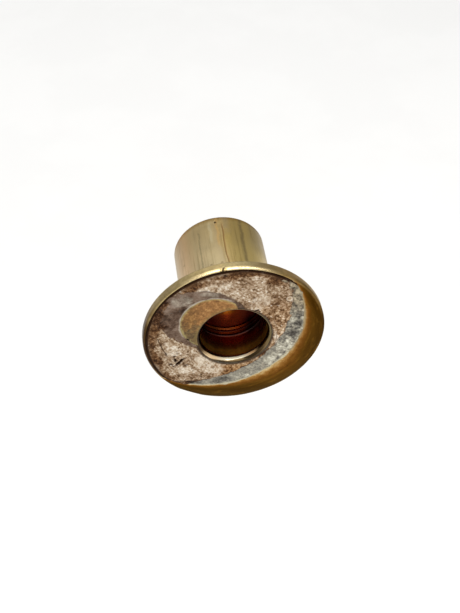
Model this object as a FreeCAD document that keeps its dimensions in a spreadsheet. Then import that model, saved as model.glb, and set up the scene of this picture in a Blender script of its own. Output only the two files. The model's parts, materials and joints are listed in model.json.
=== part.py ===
"""One-piece brass thru hull fitting: a flanged barrel with a straight waterway, and the two old coats of
paint that are left on its outboard face.

Frame: the fitting sits in a hull side. +Y runs inboard along the barrel, +Z is up, and the origin is at the
centre of the seating face, the back of the flange that bears on the hull. All sizes are in millimetres.
"""
import FreeCAD, Part
import math
import os
import Sketcher
from FreeCAD import Placement, Rotation, Vector

SIZES = {
    # The casting.
    "flange_diameter": 50.8,
    "flange_thickness": 2.7,
    "barrel_diameter": 26.67,
    "bore_diameter": 19.05,
    "overall_length": 36.0,
    # Its rounded edges.
    "flange_front_round": 0.8,
    "flange_back_round": 0.3,
    "barrel_root_round": 0.8,
    "barrel_end_round": 0.5,
    "tail_chamfer": 0.5,
    # The mouth flares out towards the face. It leaves the bore's wall smoothly at this depth.
    "mouth_width": 0.75,
    "mouth_depth": 1.4,
    # Two shallow grooves turned in the waterway, counted from the outboard face.
    "groove_start": 9.9,
    "groove_width": 1.3,
    "groove_land": 0.35,
    "groove_depth": 0.45,
    # The worn side of the outboard face: a very flat cone whose axis is off the fitting's centre.
    "wear_across": -5.4,
    "wear_up": 5.9,
    "wear_radius": 25.0,
    "wear_slope": 4.0,
    "wear_drop": 0.8,
    # The grey primer. It is bare at the mouth and on a round patch beside it.
    "primer_thickness": 0.1,
    "primer_radius": 24.5,
    "primer_hole_radius": 10.45,
    "patch_across": -5.9,
    "patch_up": 5.7,
    "patch_radius": 9.1,
    # The tan topcoat. It is rubbed off along the worn side and over a lens round the patch.
    "topcoat_thickness": 0.12,
    "topcoat_radius": 24.3,
    "topcoat_hole_radius": 10.75,
    "topcoat_across": -11.4,
    "topcoat_up": 11.0,
    "topcoat_edge_radius": 27.5,
    "rub_upper_across": -10.8,
    "rub_upper_up": 2.1,
    "rub_upper_radius": 16.1,
    "rub_lower_across": -1.2,
    "rub_lower_up": 18.5,
    "rub_lower_radius": 23.2,
    # How far a cutting tool runs past what it cuts.
    "tool_clearance": 1.0,
}
ONTO_Y = Rotation(Vector(1, 0, 0), -90)  # turns the long axis of a primitive, its own Z, onto +Y
START, END = 1, 2  # the two ends of a sketched line
CENTRE = 3  # the centre of a sketched arc
SKETCH_ORIGIN = (-1, 1)

document = FreeCAD.newDocument("ThruHullFitting")


def make_sheet():
    """The spreadsheet of driving dimensions, one alias to a row."""
    sheet = document.addObject("Spreadsheet::Sheet", "Sizes")
    for row, (name, value) in enumerate(SIZES.items(), start=1):
        sheet.set(f"A{row}", name)
        sheet.set(f"B{row}", str(value))
        sheet.setAlias(f"B{row}", name)
    document.recompute()
    return sheet


def in_cells(text):
    """An expression with each driving dimension in it written as a cell of the sheet."""
    return " ".join(f"Sizes.{word}" if word in SIZES else word for word in text.split())


def bind(feature, **expressions):
    """Ties properties of a feature to the sheet. A double underscore in a name stands for a dot."""
    for name, text in expressions.items():
        feature.setExpression(name.replace("__", "."), in_cells(text))


def dimension(text):
    """The present value of an expression, in millimetres."""
    return float(document.Sizes.evalExpression(in_cells(text)))


# ---- The casting -------------------------------------------------------------------------------------------


def section_sketch(body, name):
    """A sketch on the body's XY plane, a section through the axis. Its origin is at the outboard face."""
    plane = next(item for item in body.Origin.OriginFeatures if item.Role == "XY_Plane")
    sketch = body.newObject("Sketcher::SketchObject", name)
    sketch.AttachmentSupport = (plane, [""])
    sketch.MapMode = "FlatFace"
    bind(sketch, AttachmentOffset__Base__y="- flange_thickness")
    return sketch


def hold(sketch, kind, geometry, point, value, expression):
    """Sets one coordinate of a sketched point from the sketch's origin, and ties it to the sheet."""
    number = sketch.addConstraint(Sketcher.Constraint(kind, *SKETCH_ORIGIN, geometry, point, value))
    sketch.setExpression(f"Constraints[{number}]", in_cells(expression))


def draw_steps(sketch, corners):
    """A closed outline of straight lines, each level or upright. A corner is a pair of expressions: its
    distance from the axis and its depth behind the outboard face."""
    first = sketch.GeometryCount
    count = len(corners)
    points = [Vector(dimension(radius), dimension(depth), 0) for radius, depth in corners]
    for index, point in enumerate(points):
        sketch.addGeometry(Part.LineSegment(point, points[(index + 1) % count]), False)
    for index, (radius, depth) in enumerate(corners):
        line = first + index
        following = (index + 1) % count
        sketch.addConstraint(Sketcher.Constraint("Coincident", line, END, first + following, START))
        if radius == corners[following][0]:
            sketch.addConstraint(Sketcher.Constraint("Vertical", line))
            hold(sketch, "DistanceX", line, START, points[index].x, radius)
        elif depth == "0":
            sketch.addConstraint(Sketcher.Constraint("Horizontal", line))
            sketch.addConstraint(Sketcher.Constraint("PointOnObject", line, START, -1))
        else:
            sketch.addConstraint(Sketcher.Constraint("Horizontal", line))
            hold(sketch, "DistanceY", line, START, points[index].y, depth)


def draw_flare(sketch):
    """The outline cut away at the mouth: an arc from the bore's wall to the outboard face, closed by straight
    lines through the open space beside it."""
    wall = "bore_diameter / 2"
    lip = "bore_diameter / 2 + mouth_width"
    inside = "bore_diameter / 2 - tool_clearance"
    bottom = dimension("mouth_depth")
    width = dimension("mouth_width")
    radius = (width**2 + bottom**2) / (2 * width)
    opening = math.asin(bottom / radius)
    circle = Part.Circle(Vector(dimension(wall) + radius, bottom, 0), Vector(0, 0, 1), radius)
    arc = sketch.addGeometry(Part.ArcOfCircle(circle, math.pi, math.pi + opening), False)
    corners = [
        Vector(dimension(lip), 0, 0),
        Vector(dimension(lip), -dimension("tool_clearance"), 0),
        Vector(dimension(inside), -dimension("tool_clearance"), 0),
        Vector(dimension(inside), bottom, 0),
        Vector(dimension(wall), bottom, 0),
    ]
    lines = [
        sketch.addGeometry(Part.LineSegment(corners[number], corners[number + 1]), False) for number in range(4)
    ]
    ring = [arc, *lines]
    for number, item in enumerate(ring):
        following = ring[(number + 1) % len(ring)]
        sketch.addConstraint(Sketcher.Constraint("Coincident", item, END, following, START))
    for line, direction in zip(lines, ("Vertical", "Horizontal", "Vertical", "Horizontal")):
        sketch.addConstraint(Sketcher.Constraint(direction, line))
    sketch.addConstraint(Sketcher.Constraint("Horizontal", arc, START, arc, CENTRE))
    sketch.addConstraint(Sketcher.Constraint("PointOnObject", arc, END, -1))
    hold(sketch, "DistanceX", arc, START, dimension(wall), wall)
    hold(sketch, "DistanceY", arc, START, bottom, "mouth_depth")
    hold(sketch, "DistanceX", arc, END, dimension(lip), lip)
    hold(sketch, "DistanceX", lines[2], START, dimension(inside), inside)
    hold(sketch, "DistanceY", lines[1], START, -dimension("tool_clearance"), "- tool_clearance")


def turn(body, kind, name, sketch):
    """Revolves a section about the fitting's axis, to add or to remove material."""
    feature = body.newObject(kind, name)
    feature.Profile = sketch
    feature.ReferenceAxis = (sketch, ["V_Axis"])
    feature.Angle = 360.0
    sketch.Visibility = False
    document.recompute()
    return feature


def ring_edges(shape, radius, depth):
    """Names of the shape's round edges with this radius, at this depth behind the outboard face."""
    height = depth - dimension("flange_thickness")
    names = []
    for number, edge in enumerate(shape.Edges, start=1):
        curve = edge.Curve
        if not isinstance(curve, Part.Circle):
            continue
        if abs(curve.Radius - radius) < 1e-4 and abs(curve.Center.y - height) < 1e-4:
            names.append(f"Edge{number}")
    return names


def dress_edge(body, kind, name, base, radius, depth, size):
    """Rounds or chamfers one ring edge of the body."""
    edges = ring_edges(base.Shape, dimension(radius), dimension(depth))
    if len(edges) != 1:
        raise RuntimeError(f"{name}: {len(edges)} edges found, and there should be one")
    feature = body.newObject(kind, name)
    feature.Base = (base, edges)
    bind(feature, **{"Radius" if kind.endswith("Fillet") else "Size": size})
    document.recompute()
    return feature


def make_casting():
    """The flanged barrel, in one piece, with its waterway grooved, its mouth flared and its edges dressed."""
    body = document.addObject("PartDesign::Body", "CastingBody")
    section = section_sketch(body, "CastingSection")
    bore = "bore_diameter / 2"
    barrel = "barrel_diameter / 2"
    flange = "flange_diameter / 2"
    draw_steps(
        section,
        [
            (bore, "0"),
            (flange, "0"),
            (flange, "flange_thickness"),
            (barrel, "flange_thickness"),
            (barrel, "overall_length"),
            (bore, "overall_length"),
        ],
    )
    blank = turn(body, "PartDesign::Revolution", "FlangedBarrel", section)

    groove_section = section_sketch(body, "GrooveSection")
    for number in range(2):
        near = f"groove_start + {number} * groove_width + {number} * groove_land"
        far = f"groove_start + {number + 1} * groove_width + {number} * groove_land"
        floor = "bore_diameter / 2 + groove_depth"
        inside = "bore_diameter / 2 - groove_depth"
        draw_steps(groove_section, [(inside, near), (floor, near), (floor, far), (inside, far)])
    grooved = turn(body, "PartDesign::Groove", "WaterwayGrooves", groove_section)
    if grooved.Shape.Volume >= blank.Shape.Volume:
        raise RuntimeError("the waterway grooves removed nothing")

    flare_section = section_sketch(body, "FlareSection")
    draw_flare(flare_section)
    flared = turn(body, "PartDesign::Groove", "MouthFlare", flare_section)
    if flared.Shape.Volume >= grooved.Shape.Volume:
        raise RuntimeError("the flare removed nothing at the mouth")

    fillet = "PartDesign::Fillet"
    tip = flared
    for kind, name, radius, depth, size in (
        (fillet, "FlangeFrontRound", flange, "0", "flange_front_round"),
        (fillet, "FlangeBackRound", flange, "flange_thickness", "flange_back_round"),
        (fillet, "BarrelRootRound", barrel, "flange_thickness", "barrel_root_round"),
        (fillet, "BarrelEndRound", barrel, "overall_length", "barrel_end_round"),
        ("PartDesign::Chamfer", "TailChamfer", bore, "overall_length", "tail_chamfer"),
    ):
        tip = dress_edge(body, kind, name, tip, radius, depth, size)
    body.Tip = tip
    return body


# ---- Discs and rings across the axis -----------------------------------------------------------------------


def disc(name, radius, height, level, across="0", up="0"):
    """A round plate across the fitting's axis. Its outboard side is at the given level along Y."""
    plate = document.addObject("Part::Cylinder", name)
    plate.Placement = Placement(Vector(), ONTO_Y)
    bind(plate, Radius=radius, Height=height)
    bind(plate, Placement__Base__x=across, Placement__Base__y=level, Placement__Base__z=up)
    return plate


def boolean(kind, name, base, tool):
    """A cut or a common part of two solids."""
    feature = document.addObject(kind, name)
    feature.Base = base
    feature.Tool = tool
    return feature


def make_worn_casting(casting):
    """The casting, less a thin wedge where the outboard face is worn down towards one side of the rim."""
    face_level = "- flange_thickness"
    reach = "wear_radius + wear_drop / tan( wear_slope * 1 deg )"
    above = "- flange_thickness - tool_clearance"
    slab = disc("WearSlab", reach, "wear_drop + tool_clearance", above, "wear_across", "wear_up")
    core = document.addObject("Part::Cone", "WearCone")
    core.Placement = Placement(Vector(), ONTO_Y)
    bind(core, Radius1="wear_radius", Radius2=reach, Height="wear_drop")
    bind(core, Placement__Base__x="wear_across", Placement__Base__y=face_level, Placement__Base__z="wear_up")
    plug = disc("WearPlug", "wear_radius", "tool_clearance", above, "wear_across", "wear_up")
    ring = boolean("Part::Cut", "WearRing", slab, core)
    wedge = boolean("Part::Cut", "WearWedge", ring, plug)
    return boolean("Part::Cut", "WornCasting", casting, wedge)


def make_primer():
    """The grey primer: what lies on the flat of the face, round the bare patch and the mouth."""
    level = "- flange_thickness - primer_thickness"
    thick = "primer_thickness"
    deep = "primer_thickness + 2 * tool_clearance"
    below = "- flange_thickness - primer_thickness - tool_clearance"
    sheet = disc("PrimerSheet", "primer_radius", thick, level)
    flat = disc("PrimerFlat", "wear_radius", deep, below, "wear_across", "wear_up")
    patch = disc("PrimerPatch", "patch_radius", deep, below, "patch_across", "patch_up")
    mouth = disc("PrimerMouth", "primer_hole_radius", deep, below)
    kept = boolean("Part::Common", "PrimerOnFlat", sheet, flat)
    opened = boolean("Part::Cut", "PrimerOpened", kept, mouth)
    return boolean("Part::Cut", "Primer", opened, patch)


def make_topcoat():
    """The tan topcoat: what lies on the primer, less a lens round the bare patch and the mouth."""
    level = "- flange_thickness - primer_thickness - topcoat_thickness"
    thick = "topcoat_thickness"
    deep = "topcoat_thickness + 2 * tool_clearance"
    below = "- flange_thickness - primer_thickness - topcoat_thickness - tool_clearance"
    sheet = disc("TopcoatSheet", "topcoat_radius", thick, level)
    edge = disc("TopcoatEdge", "topcoat_edge_radius", deep, below, "topcoat_across", "topcoat_up")
    mouth = disc("TopcoatMouth", "topcoat_hole_radius", deep, below)
    upper = disc("RubUpper", "rub_upper_radius", deep, below, "rub_upper_across", "rub_upper_up")
    lower = disc("RubLower", "rub_lower_radius", deep, below, "rub_lower_across", "rub_lower_up")
    kept = boolean("Part::Common", "TopcoatKept", sheet, edge)
    opened = boolean("Part::Cut", "TopcoatOpened", kept, mouth)
    lens = boolean("Part::Common", "RubLens", upper, lower)
    return boolean("Part::Cut", "Topcoat", opened, lens)


# ---- The three pieces, checked and written -----------------------------------------------------------------


def check(pieces):
    """Stops if a feature failed, or if a piece is empty, invalid or not one solid."""
    for item in document.Objects:
        if "Invalid" in item.State or "Error" in item.State:
            raise RuntimeError(f"{item.Name} failed: {item.State}")
    for name, piece in pieces.items():
        shape = piece.Shape
        if shape.isNull() or not shape.isValid():
            raise RuntimeError(f"{name} has no valid shape")
        if len(shape.Solids) != 1:
            raise RuntimeError(f"{name} has {len(shape.Solids)} solids, and there should be one")


def main():
    make_sheet()
    casting = make_casting()
    pieces = {
        "fitting_body": make_worn_casting(casting),
        "primer_coat": make_primer(),
        "topcoat": make_topcoat(),
    }
    for name, piece in pieces.items():
        piece.Label = name
    document.recompute()
    if pieces["fitting_body"].Shape.Volume >= casting.Shape.Volume:
        raise RuntimeError("the worn side removed nothing")
    check(pieces)

    os.makedirs("parts", exist_ok=True)
    for name, piece in pieces.items():
        piece.Shape.exportStep(f"parts/{name}.step")
        print(f"{name}: {piece.Shape.Volume:.1f} cubic millimetres")


main()
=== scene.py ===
"""Looks for a one-piece brass thru hull fitting with old paint on its outboard face.

The casting and the two coats of paint are each a fine mesh in place of the CAD node, with a procedural
material. Shapes are worked out in millimetres, in the row frame: +Y runs inboard along the barrel, +Z is
up, and the origin is at the centre of the seating face. Each mesh is turned into metres as it is made.
"""
import json
import math

import bpy
import numpy as np
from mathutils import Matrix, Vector


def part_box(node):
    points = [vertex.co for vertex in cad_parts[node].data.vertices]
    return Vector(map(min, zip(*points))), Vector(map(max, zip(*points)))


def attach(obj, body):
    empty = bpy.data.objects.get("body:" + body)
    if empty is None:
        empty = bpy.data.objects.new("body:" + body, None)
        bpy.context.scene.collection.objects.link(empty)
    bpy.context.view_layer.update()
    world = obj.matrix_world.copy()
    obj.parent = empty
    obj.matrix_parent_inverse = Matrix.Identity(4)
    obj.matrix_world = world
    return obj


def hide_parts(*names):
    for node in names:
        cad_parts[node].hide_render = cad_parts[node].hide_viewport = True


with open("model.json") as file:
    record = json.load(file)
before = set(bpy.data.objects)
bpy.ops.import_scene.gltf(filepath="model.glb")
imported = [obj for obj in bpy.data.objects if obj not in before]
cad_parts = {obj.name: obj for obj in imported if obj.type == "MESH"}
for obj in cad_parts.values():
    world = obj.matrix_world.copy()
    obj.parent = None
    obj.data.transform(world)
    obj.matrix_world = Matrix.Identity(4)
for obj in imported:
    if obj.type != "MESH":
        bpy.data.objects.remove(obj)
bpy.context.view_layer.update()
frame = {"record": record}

# ---- Sizes, in millimetres ----

MM = 0.001
BODY_LOW, BODY_HIGH = (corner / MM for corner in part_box("fitting_body"))
MOUNT_RADIUS = {m["name"]: m["dims"].get("r_mm") for m in frame["record"]["mounts"]}
FLANGE = BODY_HIGH.x  # outer radius of the flange
BARREL = MOUNT_RADIUS["barrel"]
BORE = MOUNT_RADIUS["waterway"]
FACE = BODY_LOW.y  # level of the outboard face along Y
TAIL = BODY_HIGH.y  # level of the barrel's inboard end
PRIMER_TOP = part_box("primer_coat")[0].y / MM
TOPCOAT_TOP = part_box("topcoat")[0].y / MM

# Radii of the section's rounded corners: the rim's front and back, and the barrel's root and end.
FRONT_ROUND, BACK_ROUND, ROOT_ROUND, END_ROUND = 0.8, 0.3, 0.8, 0.5
TAIL_CHAMFER = 0.5
MOUTH_WIDTH, MOUTH_DEPTH = 0.75, 1.4  # how far the flared mouth opens and reaches in
LIP = BORE + MOUTH_WIDTH  # radius where the mouth meets the face
# Two shallow grooves in the waterway: where the first starts behind the face, width, gap and depth.
GROOVE_START, GROOVE_WIDTH, GROOVE_LAND, GROOVE_DEPTH = 9.9, 1.3, 0.35, 0.45
# The worn side is a very flat cone: the circle it starts at, and its slope.
WEAR_CENTRE, WEAR_RADIUS, WEAR_SLOPE = (-5.4, 5.9), 25.0, math.radians(4.0)
WEAR_HEADING = math.radians(-46)  # the direction, from the wear's centre, in which it is widest

# The coats' outlines: circles on the outboard face, as a centre (across, up) and a radius.
PRIMER_RADIUS, PRIMER_HOLE = 24.5, 10.45
PATCH = (-5.9, 5.7), 9.1
TOPCOAT_RADIUS, TOPCOAT_HOLE = 24.3, 10.75
TOPCOAT_EDGE = (-11.4, 11.0), 27.5
RUB_UPPER = (-10.8, 2.1), 16.1
RUB_LOWER = (-1.2, 18.5), 23.2
# The films' meshes: the level of each hidden underside, and the size of a face.
PRIMER_FLOOR, PRIMER_CELL = FACE + 0.06, 0.2
TOPCOAT_FLOOR, TOPCOAT_CELL = FACE + 0.02, 0.18


# ---- Noise and masks ----


def hashed(cells, seed):
    """A random number from -1 to 1 for each whole-number cell."""
    mixed = np.full(cells.shape[:-1], seed * 2654435761 % 2**32, np.uint64)
    for axis, prime in enumerate((73856093, 19349663, 83492791)[: cells.shape[-1]]):
        mixed ^= cells[..., axis].astype(np.int64).astype(np.uint64) * np.uint64(prime)
        mixed &= np.uint64(0xFFFFFFFF)
        mixed = (mixed ^ (mixed >> np.uint64(13))) * np.uint64(1274126177) & np.uint64(0xFFFFFFFF)
    mixed = (mixed ^ (mixed >> np.uint64(16))) & np.uint64(0xFFFFFF)
    return mixed.astype(float) / 0x7FFFFF - 1


def smooth_noise(place, cell, seed):
    """Value noise from -1 to 1 at places, given as one array for each axis, with bumps the cell's size."""
    scaled = np.stack(place, -1) / cell
    low = np.floor(scaled)
    share = scaled - low
    share = share * share * share * (share * (share * 6 - 15) + 10)
    total = 0
    for corner in np.ndindex(*(2,) * scaled.shape[-1]):
        weight = np.prod(np.where(corner, share, 1 - share), axis=-1)
        total = total + weight * hashed(low + np.array(corner), seed)
    return total


def fractal(place, cell, seed, octaves=3):
    """Value noise with finer and finer detail added, from about -1 to 1."""
    total, reach = 0, 0
    for octave in range(octaves):
        total = total + smooth_noise(place, cell / 2**octave, seed + octave) / 2**octave
        reach += 0.5**octave
    return total / reach * 1.4


def ease(value, low, high):
    """0 below low, 1 above high and a smooth step between them. Low may be the larger."""
    share = np.clip((value - low) / (high - low), 0, 1)
    return share * share * (3 - 2 * share)


def away(x, z, centre, radius=0.0):
    """How far outside a circle on the face a point is."""
    return np.hypot(x - centre[0], z - centre[1]) - radius


def oval(x, z, across, up, wide, tall, turn):
    """How far a point is from an oval's centre, 1 at its edge. The oval is turned by so many degrees."""
    cosine, sine = math.cos(math.radians(turn)), math.sin(math.radians(turn))
    u = ((x - across) * cosine + (z - up) * sine) / wide
    v = ((z - up) * cosine - (x - across) * sine) / tall
    return np.hypot(u, v)


def blobs(x, z, patches):
    """The strongest of some soft ovals. Each is (across, up, half width, half height, turn in degrees)."""
    return np.maximum.reduce([ease(oval(x, z, *patch), 1.25, 0.55) for patch in patches])


# ---- Where paint is ----


# Chips through both coats, as (across, up, half length, half width, turn in degrees).
CHIPS = [
    (-15.7, -8.3, 1.5, 0.42, 42), (-16.7, -7.2, 0.6, 0.34, 118), (-14.6, -7.1, 0.4, 0.24, 30),
    (-17.0, -5.7, 0.3, 0.2, 20), (-19.1, -4.6, 0.3, 0.14, 85), (5.9, 9.3, 0.6, 0.3, 10),
    (6.8, 8.6, 0.35, 0.2, 120), (-2.2, 22.9, 0.5, 0.16, 150), (-13.9, -9.5, 0.24, 0.18, 30),
    (-17.9, -8.7, 0.26, 0.18, 140),
]
CHIPS_CENTRE = (-16.5, -6.5)  # the middle of the largest group of chips
# Flakes of the topcoat that came off its right edge.
FLAKES = [
    (16.3, 8.6, 1.9, 0.8, 80), (16.6, 13.9, 1.0, 0.6, 120), (13.6, 19.2, 0.9, 0.4, 150),
    (15.4, 16.6, 0.6, 0.3, 100),
]
BUBBLE = (15.0, 12.8), 0.7  # a ring raised in the topcoat: centre and radius
SPLIT_AT, SPLIT_LEAN = (-20.4, -1.2), 0.33  # a fine split in the topcoat: a point on it, and its slant


def chip_depth(x, z, chips):
    """Distance outside the nearest of some chips, which have ragged edges."""
    gaps = [(oval(x, z, *chip) - 1) * math.sqrt(chip[2] * chip[3]) for chip in chips]
    return np.minimum.reduce(gaps) + 0.28 * fractal((x, z), 0.6, 31)


def patch_gap(x, z):
    """Distance outside the bare patch, which ends in a straight edge on its right."""
    return np.maximum(away(x, z, *PATCH), 0.95 * (x - 0.8) + 0.3 * (z - 11.0))


def primer_depth(x, z):
    """Distance inside the primer's outline, negative where there is none."""
    wobble = 0.35 * fractal((x, z), 2.4, 11, 4)
    rim = PRIMER_RADIUS - np.hypot(x, z) + 0.5 * wobble
    worn = -away(x, z, WEAR_CENTRE, WEAR_RADIUS) + 1.1 * wobble + 0.3 * smooth_noise((x, z), 7, 12)
    patch = patch_gap(x, z) + 0.45 * wobble
    mouth = np.hypot(x, z) - PRIMER_HOLE + 0.2 * wobble
    return np.minimum.reduce([rim, worn, patch, mouth])


def topcoat_depth(x, z):
    """Distance inside the topcoat's outline, negative where there is none."""
    wobble = 0.4 * fractal((x, z), 2.0, 21, 4)
    rim = TOPCOAT_RADIUS - np.hypot(x, z) + 0.6 * wobble
    edge = -away(x, z, *TOPCOAT_EDGE) + (0.8 + 1.0 * ease(z, -2, 6)) * wobble
    mouth = np.hypot(x, z) - TOPCOAT_HOLE + 0.4 * wobble
    lens = np.maximum(away(x, z, *RUB_UPPER), away(x, z, *RUB_LOWER))
    lens = lens + (0.9 + 0.9 * ease(x, -8, -14)) * wobble
    return np.minimum.reduce([rim, edge, mouth, lens, chip_depth(x, z, FLAKES)])


# ---- Meshes ----


def add_object(name, data):
    thing = bpy.data.objects.new(name, data)
    bpy.context.scene.collection.objects.link(thing)
    return thing


def make_object(name, points, quads, replaced, attributes):
    """A smooth-shaded mesh piece that stands for a CAD node. Points are in millimetres."""
    mesh = bpy.data.meshes.new(name)
    mesh.from_pydata((np.asarray(points) * MM).tolist(), [], np.asarray(quads).tolist())
    mesh.validate()
    for key, values in attributes.items():
        layer = mesh.attributes.new(key, "FLOAT", "POINT")
        layer.data.foreach_set("value", np.asarray(values, np.float32).ravel())
    mesh.shade_smooth()
    piece = add_object(name, mesh)
    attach(piece, "root")
    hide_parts(replaced)
    return piece


def straight(start, end, step):
    """Points of a straight stretch of outline, without its last."""
    start, end = np.array(start, float), np.array(end, float)
    count = max(1, round(np.linalg.norm(end - start) / step))
    return [tuple(start + (end - start) * k / count) for k in range(count)]


def rounded(centre, radius, first, last, count):
    """Points of an arc, without its last. Angles are in degrees, from away from the axis towards +Y."""
    turns = np.radians(np.linspace(first, last, count, endpoint=False))
    return [(centre[0] + radius * math.cos(a), centre[1] + radius * math.sin(a)) for a in turns]


def casting_outline():
    """The casting's section, a closed loop of (radius, level) from the mouth round by the barrel's end."""
    front, back = FLANGE - FRONT_ROUND, FLANGE - BACK_ROUND
    root, end, tail = BARREL + ROOT_ROUND, BARREL - END_ROUND, BORE + TAIL_CHAMFER
    flare = (MOUTH_WIDTH**2 + MOUTH_DEPTH**2) / (2 * MOUTH_WIDTH)  # radius of the mouth's curve
    opening = math.degrees(math.asin(MOUTH_DEPTH / flare))
    loop = rounded((BORE + flare, FACE + MOUTH_DEPTH), flare, 180, 180 + opening, 10)
    loop += straight((LIP, FACE), (front, FACE), 0.36)
    loop += rounded((front, FACE + FRONT_ROUND), FRONT_ROUND, 270, 360, 10)
    loop += straight((FLANGE, FACE + FRONT_ROUND), (FLANGE, -BACK_ROUND), 0.25)
    loop += rounded((back, -BACK_ROUND), BACK_ROUND, 0, 90, 4)
    loop += straight((back, 0), (root, 0), 0.7)
    loop += rounded((root, ROOT_ROUND), ROOT_ROUND, 270, 180, 6)
    loop += straight((BARREL, ROOT_ROUND), (BARREL, TAIL - 4.5), 0.62)
    loop += straight((BARREL, TAIL - 4.5), (BARREL, TAIL - END_ROUND), 0.3)
    loop += rounded((end, TAIL - END_ROUND), END_ROUND, 0, 90, 6)
    loop += straight((end, TAIL), (tail, TAIL), 0.45)
    loop += straight((tail, TAIL), (BORE, TAIL - TAIL_CHAMFER), 0.25)
    level = TAIL - TAIL_CHAMFER
    floor, soft = BORE + GROOVE_DEPTH, 0.08
    for number in (1, 0):
        near = FACE + GROOVE_START + number * (GROOVE_WIDTH + GROOVE_LAND)
        far = near + GROOVE_WIDTH
        corners = [(BORE, level), (BORE, far + soft), (BORE + soft, far), (floor - soft, far - soft)]
        corners += [(floor, far - 2 * soft), (floor, near + 2 * soft), (floor - soft, near + soft)]
        corners += [(BORE + soft, near), (BORE, near - soft)]
        steps = (0.8, 0.2, 0.15, 0.2, 0.35, 0.2, 0.15, 0.2)
        for start, finish, step in zip(corners, corners[1:], steps):
            loop += straight(start, finish, step)
        level = near - soft
    loop += straight((BORE, level), (BORE, FACE + MOUTH_DEPTH), 0.7)
    return np.array(loop)


# Small faults in the metal. Angles are in degrees from +X towards +Z.
NICKS = [(96.6, 0.27, 0.22), (110.8, 0.22, 0.14), (50.7, 0.2, 0.1)]  # on the rim: angle, half width, depth
FACETS = [(240.0, 0.35), (302.0, 0.4)]  # filed flats on the rim: angle, depth
SEAM_ANGLE, SEAM_WIDTH, SEAM_DEPTH = 88.2, 0.2, 0.05  # a fine crack along the barrel
PINHOLE, PINHOLE_DEPTH = (95.5, TAIL - 2.3, 0.36), 0.4  # in the barrel: angle, level and radius
PATCH_PIT, PIT_DEPTH = (-12.9, 0.1, 0.75, 0.3, 120), 0.25  # in the bare patch: an oval
STEPS_ROUND = 372  # points round the casting, before those added at the faults


def turns_round():
    """The angles that the casting's mesh has points at: even, and closer together at the small faults."""
    turns = [np.linspace(0, 360, STEPS_ROUND, endpoint=False)]
    for angle, width, _ in NICKS:
        span = math.degrees(width / FLANGE) * 1.3
        turns.append(np.linspace(angle - span, angle + span, 13))
    turns.append(np.linspace(SEAM_ANGLE - 2.4, SEAM_ANGLE + 2.4, 17))
    turns.append(np.linspace(PINHOLE[0] - 2.0, PINHOLE[0] + 2.0, 9))
    every = np.sort(np.concatenate(turns) % 360)
    keep = np.append(True, np.diff(every) > 0.12)
    return np.radians(every[keep])


def seam_offset(angle, level):
    """Distance round the barrel from the crack, which wanders a little along its length."""
    wander = 0.35 * smooth_noise((level, level * 0), 4.5, 41)
    return (angle - math.radians(SEAM_ANGLE)) * BARREL - wander


def wear_reach(x, z):
    """How far a point is into the worn side, counted faster towards the two ends of the crescent."""
    past = away(x, z, WEAR_CENTRE, WEAR_RADIUS)
    heading = np.arctan2(z - WEAR_CENTRE[1], x - WEAR_CENTRE[0]) - WEAR_HEADING
    return past * (0.65 + 8 * (1 - np.cos(heading)))


def wear_level(x, z):
    """The level that the outboard face is worn to."""
    past = away(x, z, WEAR_CENTRE, WEAR_RADIUS)
    drop = (past + np.sqrt(past**2 + 0.3)) / 2 * math.tan(WEAR_SLOPE)
    rolled = 0.22 * ease(past, 0, 3) * np.clip((np.hypot(x, z) - 22) / 3.4, 0, 1) ** 2
    return FACE + drop + rolled


def turned(outline, angles):
    """The outline at every angle: radius, level and angle, and which way out the surface faces."""
    tangent = np.roll(outline, -1, 0) - np.roll(outline, 1, 0)
    tangent /= np.linalg.norm(tangent, axis=1)[:, None]
    columns = (outline[:, 0], outline[:, 1], tangent[:, 1], -tangent[:, 0])
    radius, level, out_r, out_y = (np.repeat(c[:, None], len(angles), 1) for c in columns)
    return radius, level, np.repeat(angles[None, :], len(outline), 0), out_r, out_y


def rim_nicks(radius, level, angle):
    """How far inside a nick each point is, and how deep it is cut."""
    inside, cut = np.zeros_like(level), np.zeros_like(level)
    edge = ease(radius, FLANGE - 1.5, FLANGE - 0.8) * ease(level, FACE + 1.3, FACE + 0.5)
    for turn, width, depth in NICKS:
        aside = np.abs((angle - math.radians(turn)) * FLANGE + 0.5 * (level - FACE - 0.5))
        nick = edge * np.clip(1 - aside / width, 0, 1)
        inside = np.maximum(inside, nick)
        cut += depth * nick
    return inside, cut


def filed(radius, level, angle):
    """The radius, cut back at the rim's filed flats, which fade out towards its back."""
    fade = 1 - ease(level, 0.0, FACE + 0.6)
    for turn, depth in FACETS:
        chord = (FLANGE - depth) / np.maximum(np.cos(angle - math.radians(turn)), 0.5)
        radius = np.minimum(radius, chord + fade * 9)
    return radius


def closed_quads(rows, columns):
    """Faces of a grid of points that closes on itself both ways."""
    ring, step = np.meshgrid(np.arange(rows), np.arange(columns), indexing="ij")
    after, beside = (ring + 1) % rows, (step + 1) % columns
    corners = [after * columns + step, after * columns + beside]
    corners += [ring * columns + beside, ring * columns + step]
    return np.stack(corners, -1).reshape(-1, 4)


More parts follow.
